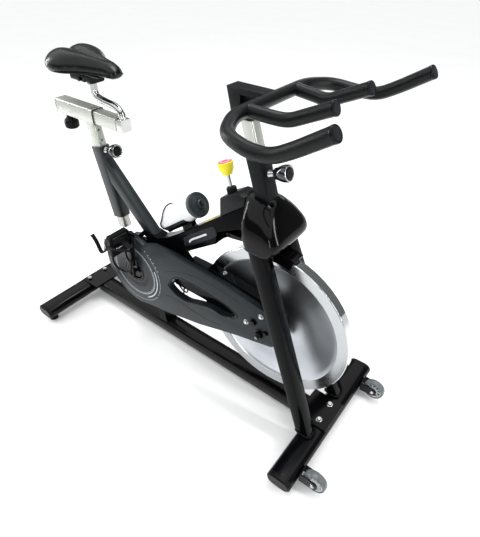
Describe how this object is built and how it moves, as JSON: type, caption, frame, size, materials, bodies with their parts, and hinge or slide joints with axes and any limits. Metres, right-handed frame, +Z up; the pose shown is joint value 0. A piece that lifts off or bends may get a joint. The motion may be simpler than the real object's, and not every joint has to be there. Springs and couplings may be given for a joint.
{
  "type": "indoor spin bike",
  "caption": "Stationary indoor cycling bike with a belt drive in a guard, front flywheel, sliding saddle, multi-grip handlebar, push brake, bottle cage and transport wheels.",
  "frame": {"origin": "on the floor, under the middle of the bounding box", "axes": "+X forward towards the handlebar, +Y to the rider's left, +Z up"},
  "size_m": [1.278, 0.54, 1.0686],
  "materials": {
    "base_beam": "satin black",
    "stabiliser_front": "satin black",
    "stabiliser_rear": "satin black",
    "wheel_bracket_left": "satin black",
    "wheel_bracket_right": "satin black",
    "fork_leg_left": "satin slate grey",
    "fork_leg_right": "satin slate grey",
    "head_tube": "textured slate grey",
    "upper_beam": "satin slate grey",
    "mid_beam": "satin slate grey",
    "brace_tube": "satin slate grey",
    "seat_tube": "satin slate grey",
    "stay_left": "satin slate grey",
    "stay_right": "satin slate grey",
    "riser": "satin slate grey",
    "crank_arm_left": "satin black",
    "crank_arm_right": "satin black",
    "seat_sleeve": "satin black",
    "slider_tube": "satin black",
    "handlebar_stem": "textured slate grey",
    "bottle_cage": "black",
    "end_cap_front_left": "matte",
    "end_cap_front_right": "matte",
    "end_cap_rear_left": "matte",
    "end_cap_rear_right": "matte",
    "belt_guard_cover": "matte",
    "belt_guard_back": "matte",
    "pedal_left": "matte",
    "pedal_right": "matte",
    "toe_clip_left": "matte",
    "toe_clip_right": "matte",
    "slider_knob": "matte",
    "brake_housing": "matte",
    "bottle_cap": "matte",
    "transport_wheel_left": "matte",
    "transport_wheel_right": "matte",
    "fork_shroud": "glossy black",
    "tension_knob": "glossy yellow with red top",
    "bottle": "glossy white",
    "flywheel": "polished",
    "seat_post": "polished",
    "swan_neck": "polished",
    "handlebar_post": "polished",
    "head_pin": "polished",
    "seat_pin": "polished",
    "tension_rod": "polished",
    "flywheel_shaft": "bare",
    "hub_bearing_left": "bare",
    "hub_bearing_right": "bare",
    "crank_spindle": "bare",
    "saddle_clamp": "bare",
    "brake_arm": "bare",
    "levelling_foot_front_left": "matte",
    "levelling_foot_front_right": "matte",
    "levelling_foot_rear_left": "matte",
    "levelling_foot_rear_right": "matte",
    "drive_belt": "matte",
    "brake_pad": "matte",
    "handlebar": "matte",
    "saddle": "synthetic leather over foam, satin"
  },
  "bodies": {
    "frame": {"base_beam": "base_beam", "stabiliser_front": "stabiliser_front", "stabiliser_rear": "stabiliser_rear", "end_cap_front_left": "end_cap_front_left", "end_cap_front_right": "end_cap_front_right", "end_cap_rear_left": "end_cap_rear_left", "end_cap_rear_right": "end_cap_rear_right", "wheel_bracket_left": "wheel_bracket_left", "wheel_bracket_right": "wheel_bracket_right", "fork_leg_left": "fork_leg_left", "fork_leg_right": "fork_leg_right", "head_tube": "head_tube", "upper_beam": "upper_beam", "mid_beam": "mid_beam", "brace_tube": "brace_tube", "seat_tube": "seat_tube", "stay_left": "stay_left", "stay_right": "stay_right", "riser": "riser", "belt_guard_cover": "belt_guard_cover", "belt_guard_back": "belt_guard_back", "hub_bearing_left": "hub_bearing_left", "hub_bearing_right": "hub_bearing_right", "drive_belt": "drive_belt", "fork_shroud": "fork_shroud", "brake_housing": "brake_housing", "bottle_cage": "bottle_cage"},
    "flywheel": {"flywheel": "flywheel", "flywheel_shaft": "flywheel_shaft"},
    "crank": {"crank_spindle": "crank_spindle", "crank_arm_left": "crank_arm_left", "crank_arm_right": "crank_arm_right"},
    "pedal_left": {"pedal_left": "pedal_left", "toe_clip_left": "toe_clip_left"},
    "pedal_right": {"pedal_right": "pedal_right", "toe_clip_right": "toe_clip_right"},
    "seat_post": {"seat_post": "seat_post", "seat_sleeve": "seat_sleeve"},
    "slider": {"slider_tube": "slider_tube", "swan_neck": "swan_neck"},
    "saddle": {"saddle": "saddle", "saddle_clamp": "saddle_clamp"},
    "slider_knob": {"slider_knob": "slider_knob"},
    "seat_pin": {"seat_pin": "seat_pin"},
    "handlebar": {"handlebar_post": "handlebar_post", "handlebar_stem": "handlebar_stem", "handlebar": "handlebar"},
    "head_pin": {"head_pin": "head_pin"},
    "tension_rod": {"tension_rod": "tension_rod"},
    "tension_knob": {"tension_knob": "tension_knob"},
    "brake_arm": {"brake_arm": "brake_arm", "brake_pad": "brake_pad"},
    "bottle": {"bottle": "bottle", "bottle_cap": "bottle_cap"},
    "levelling_foot_front_left": {"levelling_foot_front_left": "levelling_foot_front_left"},
    "levelling_foot_front_right": {"levelling_foot_front_right": "levelling_foot_front_right"},
    "levelling_foot_rear_left": {"levelling_foot_rear_left": "levelling_foot_rear_left"},
    "levelling_foot_rear_right": {"levelling_foot_rear_right": "levelling_foot_rear_right"},
    "transport_wheel_left": {"transport_wheel_left": "transport_wheel_left"},
    "transport_wheel_right": {"transport_wheel_right": "transport_wheel_right"}
  },
  "joints": [
    {"name": "flywheel_spin", "type": "hinge", "parent": "frame", "child": "flywheel", "pos_m": [0.305, 0, 0.356], "axis": [0, 1, 0], "continuous": true},
    {"name": "crank_spin", "type": "hinge", "parent": "frame", "child": "crank", "pos_m": [-0.233, 0, 0.328], "axis": [0, 1, 0], "continuous": true},
    {"name": "pedal_left_spin", "type": "hinge", "parent": "crank", "child": "pedal_left", "pos_m": [-0.26252, 0.0885, 0.16058], "axis": [0, 1, 0], "continuous": true},
    {"name": "pedal_right_spin", "type": "hinge", "parent": "crank", "child": "pedal_right", "pos_m": [-0.20348, -0.0885, 0.49542], "axis": [0, 1, 0], "continuous": true},
    {"name": "seat_height", "type": "slide", "parent": "frame", "child": "seat_post", "axis": [-0.2149, 0, 0.9766], "range_m": [-0.02, 0.16]},
    {"name": "seat_fore_aft", "type": "slide", "parent": "seat_post", "child": "slider", "axis": [1, 0, 0], "range_m": [-0.08, 0.035]},
    {"name": "saddle_tilt", "type": "hinge", "parent": "slider", "child": "saddle", "pos_m": [-0.38, 0, 0.9225], "axis": [0, 1, 0], "range_deg": [-10, 10]},
    {"name": "slider_knob_turn", "type": "hinge", "parent": "seat_post", "child": "slider_knob", "pos_m": [-0.537, 0, 0.745], "axis": [0, 0, 1], "range_deg": [-360, 360]},
    {"name": "seat_pin_pull", "type": "slide", "parent": "frame", "child": "seat_pin", "axis": [0.9766, 0, 0.2149], "range_m": [0, 0.008], "stiffness_N_per_m": 1500},
    {"name": "bar_height", "type": "slide", "parent": "frame", "child": "handlebar", "axis": [-0.3074, 0, 0.9516], "range_m": [-0.05, 0.1]},
    {"name": "head_pin_pull", "type": "slide", "parent": "frame", "child": "head_pin", "axis": [0.9516, 0, 0.3074], "range_m": [0, 0.008], "stiffness_N_per_m": 1500},
    {"name": "brake_push", "type": "slide", "parent": "frame", "child": "tension_rod", "axis": [0.3, 0, -0.9539], "range_m": [0, 0.006], "stiffness_N_per_m": 2500},
    {"name": "tension_turn", "type": "hinge", "parent": "tension_rod", "child": "tension_knob", "pos_m": [0.129, 0, 0.782], "axis": [-0.3, 0, 0.9539], "range_deg": [-720, 720]},
    {"name": "brake_arm_swing", "type": "hinge", "parent": "frame", "child": "brake_arm", "pos_m": [0.14, 0, 0.6], "axis": [0, 1, 0], "range_deg": [0, 0.42]},
    {"name": "bottle_lift", "type": "slide", "parent": "frame", "child": "bottle", "axis": [0.797, 0, 0.604], "range_m": [0, 0.065]},
    {"name": "levelling_foot_front_left_turn", "type": "hinge", "parent": "frame", "child": "levelling_foot_front_left", "pos_m": [0.521, 0.24, 0], "axis": [0, 0, 1], "range_deg": [-360, 360]},
    {"name": "levelling_foot_front_right_turn", "type": "hinge", "parent": "frame", "child": "levelling_foot_front_right", "pos_m": [0.521, -0.24, 0], "axis": [0, 0, 1], "range_deg": [-360, 360]},
    {"name": "levelling_foot_rear_left_turn", "type": "hinge", "parent": "frame", "child": "levelling_foot_rear_left", "pos_m": [-0.6, 0.24, 0], "axis": [0, 0, 1], "range_deg": [-360, 360]},
    {"name": "levelling_foot_rear_right_turn", "type": "hinge", "parent": "frame", "child": "levelling_foot_rear_right", "pos_m": [-0.6, -0.24, 0], "axis": [0, 0, 1], "range_deg": [-360, 360]},
    {"name": "transport_wheel_left_spin", "type": "hinge", "parent": "frame", "child": "transport_wheel_left", "pos_m": [0.603, 0.2, 0.052], "axis": [0, 1, 0], "continuous": true},
    {"name": "transport_wheel_right_spin", "type": "hinge", "parent": "frame", "child": "transport_wheel_right", "pos_m": [0.603, -0.2, 0.052], "axis": [0, 1, 0], "continuous": true}
  ],
  "couplings": [
    {"joint": "crank_spin", "follows": "flywheel_spin", "ratio": 0.27119},
    {"joint": "brake_arm_swing", "follows": "brake_push", "rad_per_m": 1.2}
  ]
}
